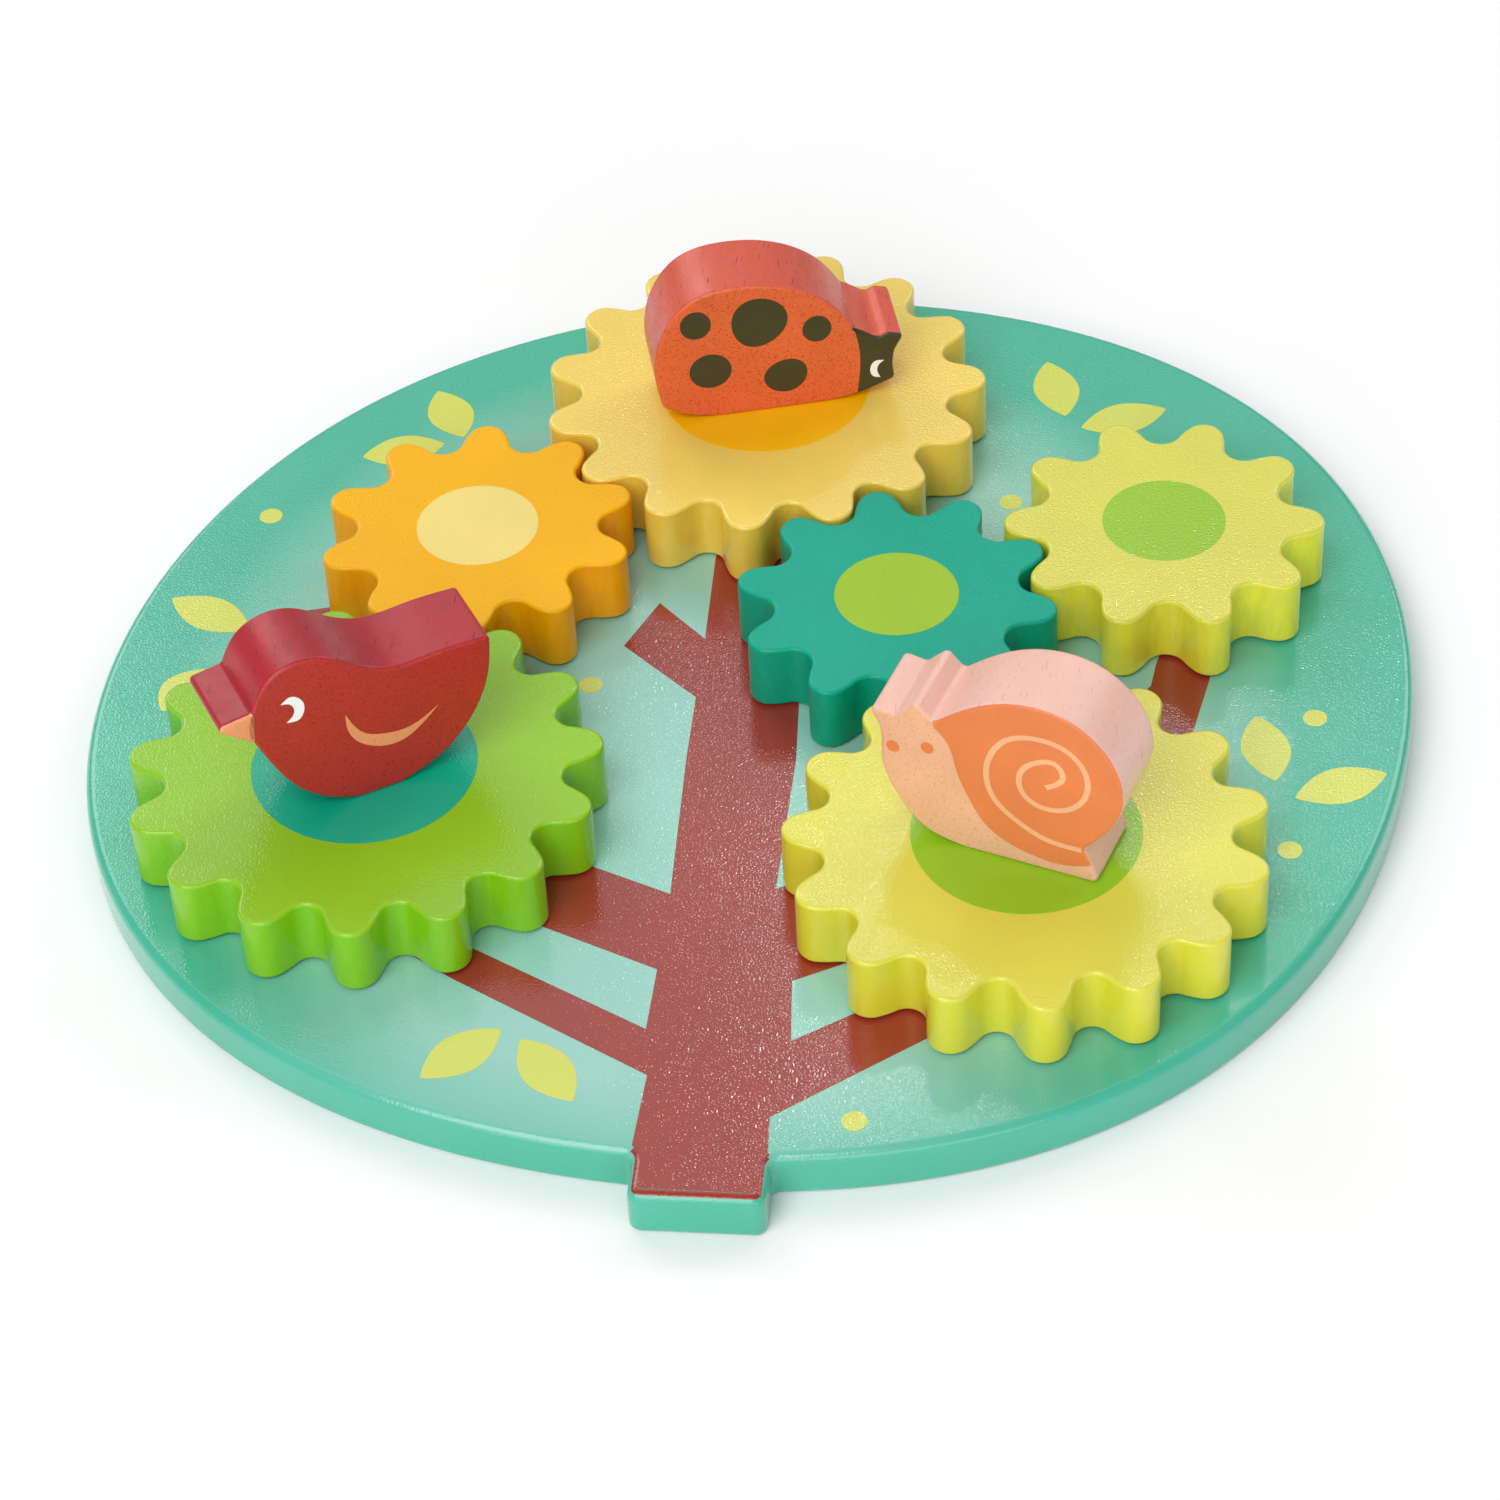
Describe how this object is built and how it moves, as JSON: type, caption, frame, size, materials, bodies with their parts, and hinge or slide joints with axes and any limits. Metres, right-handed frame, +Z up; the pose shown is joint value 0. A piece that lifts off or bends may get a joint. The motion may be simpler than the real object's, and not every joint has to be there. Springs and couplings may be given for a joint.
{
  "type": "wooden gear toy",
  "caption": "Tree-shaped wooden board with meshing gears; animal figures on the large gears turn them, and the small gears pass the motion on.",
  "frame": {"origin": "middle of the crown on the board's flat underside", "axes": "+Z up out of the board, +Y up the tree from the trunk's foot, +X to the right"},
  "size_m": [0.2858, 0.2853, 0.0706],
  "materials": {
    "board_paint": "lacquered MDF, teal with a printed tree",
    "yellow_paint": "painted wood, pale yellow with an orange disc",
    "green_paint": "painted wood, leaf green with a teal disc",
    "citron_paint": "painted wood, citron with a green disc",
    "orange_paint": "painted wood, orange with a cream disc",
    "teal_paint": "painted wood, teal with a lime disc",
    "lime_paint": "painted wood, pale lime with a green disc",
    "ladybird_stain": "stained hardwood, printed faces",
    "bird_stain": "stained hardwood, printed faces",
    "snail_stain": "stained hardwood, printed faces",
    "bare_beech": "bare turned beech",
    "zinc_steel": "zinc plated steel"
  },
  "bodies": {
    "base": {"board": "board_paint"},
    "ladybird_wheel": {"ladybird_gear": "yellow_paint", "ladybird_gear_axle": "bare_beech", "ladybird_gear_washer": "zinc_steel", "ladybird_gear_screw": "zinc_steel", "ladybird": "ladybird_stain", "ladybird_dowels": "bare_beech"},
    "orange_wheel": {"orange_gear": "orange_paint", "orange_gear_axle": "bare_beech", "orange_gear_washer": "zinc_steel", "orange_gear_screw": "zinc_steel"},
    "teal_wheel": {"teal_gear": "teal_paint", "teal_gear_axle": "bare_beech", "teal_gear_washer": "zinc_steel", "teal_gear_screw": "zinc_steel"},
    "bird_wheel": {"bird_gear": "green_paint", "bird_gear_axle": "bare_beech", "bird_gear_washer": "zinc_steel", "bird_gear_screw": "zinc_steel", "bird": "bird_stain", "bird_dowels": "bare_beech"},
    "lime_wheel": {"lime_gear": "lime_paint", "lime_gear_axle": "bare_beech", "lime_gear_washer": "zinc_steel", "lime_gear_screw": "zinc_steel"},
    "snail_wheel": {"snail_gear": "citron_paint", "snail_gear_axle": "bare_beech", "snail_gear_washer": "zinc_steel", "snail_gear_screw": "zinc_steel", "snail": "snail_stain", "snail_dowels": "bare_beech"}
  },
  "joints": [
    {"name": "ladybird_spin", "type": "hinge", "parent": "base", "child": "ladybird_wheel", "pos_m": [-0.0055, 0.084, 0], "axis": [0, 0, 1], "continuous": true},
    {"name": "orange_spin", "type": "hinge", "parent": "base", "child": "orange_wheel", "pos_m": [-0.06484, 0.03223, 0], "axis": [0, 0, 1], "continuous": true},
    {"name": "teal_spin", "type": "hinge", "parent": "base", "child": "teal_wheel", "pos_m": [0.02939, 0.0134, 0], "axis": [0, 0, 1], "continuous": true},
    {"name": "bird_spin", "type": "hinge", "parent": "base", "child": "bird_wheel", "pos_m": [-0.07825, -0.04537, 0], "axis": [0, 0, 1], "continuous": true},
    {"name": "lime_spin", "type": "hinge", "parent": "base", "child": "lime_wheel", "pos_m": [0.08635, 0.04033, 0], "axis": [0, 0, 1], "continuous": true},
    {"name": "snail_spin", "type": "hinge", "parent": "base", "child": "snail_wheel", "pos_m": [0.06092, -0.05876, 0], "axis": [0, 0, 1], "continuous": true}
  ],
  "couplings": [
    {"joint": "orange_spin", "follows": "ladybird_spin", "ratio": -1.5},
    {"joint": "teal_spin", "follows": "ladybird_spin", "ratio": -1.5},
    {"joint": "bird_spin", "follows": "ladybird_spin", "ratio": 1},
    {"joint": "lime_spin", "follows": "ladybird_spin", "ratio": 1.5},
    {"joint": "snail_spin", "follows": "ladybird_spin", "ratio": 1}
  ]
}
